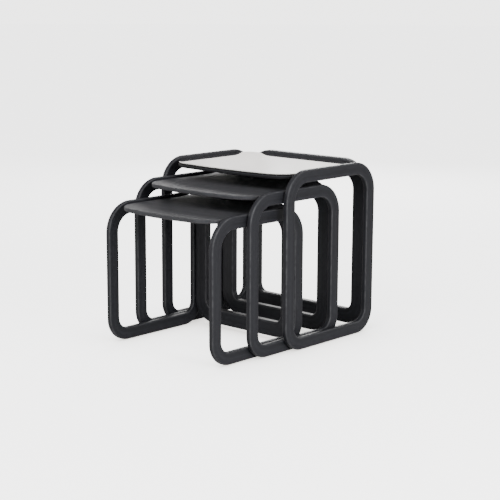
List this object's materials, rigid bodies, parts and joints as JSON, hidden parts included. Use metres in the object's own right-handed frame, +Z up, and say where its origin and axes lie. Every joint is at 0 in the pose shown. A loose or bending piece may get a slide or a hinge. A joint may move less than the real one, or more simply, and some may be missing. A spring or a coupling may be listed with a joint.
{
  "type": "nesting tables",
  "caption": "Nest of black loop-frame side tables that slide under one another, the largest with a mirrored top and the others with plain satin black tops.",
  "frame": {"origin": "on the floor, at the middle of the whole nest as it stands with the two smaller tables drawn forward", "axes": "+Z up, +X to the right seen from the open front, +Y from the open fronts towards the back frames"},
  "size_m": [0.487, 0.636, 0.5],
  "materials": {
    "black_stained_rail": "black stained and lacquered wood, satin, with soft rounded edges",
    "black_lacquered_top": "black lacquered wood, satin",
    "mirror": "clear mirror with a narrow bevelled rim",
    "beech_dowel": "plain turned beech",
    "glide_plastic": "black moulded plastic",
    "bonding_foam": "thin closed-cell foam"
  },
  "bodies": {
    "large_table": {"large_back_frame": "black_stained_rail", "large_left_frame": "black_stained_rail", "large_left_front_glide": "glide_plastic", "large_left_front_top_dowel": "beech_dowel", "large_left_lower_frame_dowel": "beech_dowel", "large_left_rear_glide": "glide_plastic", "large_left_rear_top_dowel": "beech_dowel", "large_left_upper_frame_dowel": "beech_dowel", "large_mirror_bonding_sheet": "bonding_foam", "large_mirror_plate": "mirror", "large_right_frame": "black_stained_rail", "large_right_front_glide": "glide_plastic", "large_right_front_top_dowel": "beech_dowel", "large_right_lower_frame_dowel": "beech_dowel", "large_right_rear_glide": "glide_plastic", "large_right_rear_top_dowel": "beech_dowel", "large_right_upper_frame_dowel": "beech_dowel", "large_top": "black_lacquered_top"},
    "middle_table": {"middle_back_frame": "black_stained_rail", "middle_left_frame": "black_stained_rail", "middle_left_front_glide": "glide_plastic", "middle_left_front_top_dowel": "beech_dowel", "middle_left_lower_frame_dowel": "beech_dowel", "middle_left_rear_glide": "glide_plastic", "middle_left_rear_top_dowel": "beech_dowel", "middle_left_upper_frame_dowel": "beech_dowel", "middle_right_frame": "black_stained_rail", "middle_right_front_glide": "glide_plastic", "middle_right_front_top_dowel": "beech_dowel", "middle_right_lower_frame_dowel": "beech_dowel", "middle_right_rear_glide": "glide_plastic", "middle_right_rear_top_dowel": "beech_dowel", "middle_right_upper_frame_dowel": "beech_dowel", "middle_top": "black_lacquered_top"},
    "small_table": {"small_back_frame": "black_stained_rail", "small_left_frame": "black_stained_rail", "small_left_front_glide": "glide_plastic", "small_left_front_top_dowel": "beech_dowel", "small_left_lower_frame_dowel": "beech_dowel", "small_left_rear_glide": "glide_plastic", "small_left_rear_top_dowel": "beech_dowel", "small_left_upper_frame_dowel": "beech_dowel", "small_right_frame": "black_stained_rail", "small_right_front_glide": "glide_plastic", "small_right_front_top_dowel": "beech_dowel", "small_right_lower_frame_dowel": "beech_dowel", "small_right_rear_glide": "glide_plastic", "small_right_rear_top_dowel": "beech_dowel", "small_right_upper_frame_dowel": "beech_dowel", "small_top": "black_lacquered_top"}
  },
  "joints": [
    {"name": "middle_table_slide", "type": "slide", "parent": "large_table", "child": "middle_table", "axis": [0, 1, 0], "range_m": [-0.26, 0.106]},
    {"name": "small_table_slide", "type": "slide", "parent": "middle_table", "child": "small_table", "axis": [0, 1, 0], "range_m": [-0.25, 0.105]}
  ]
}
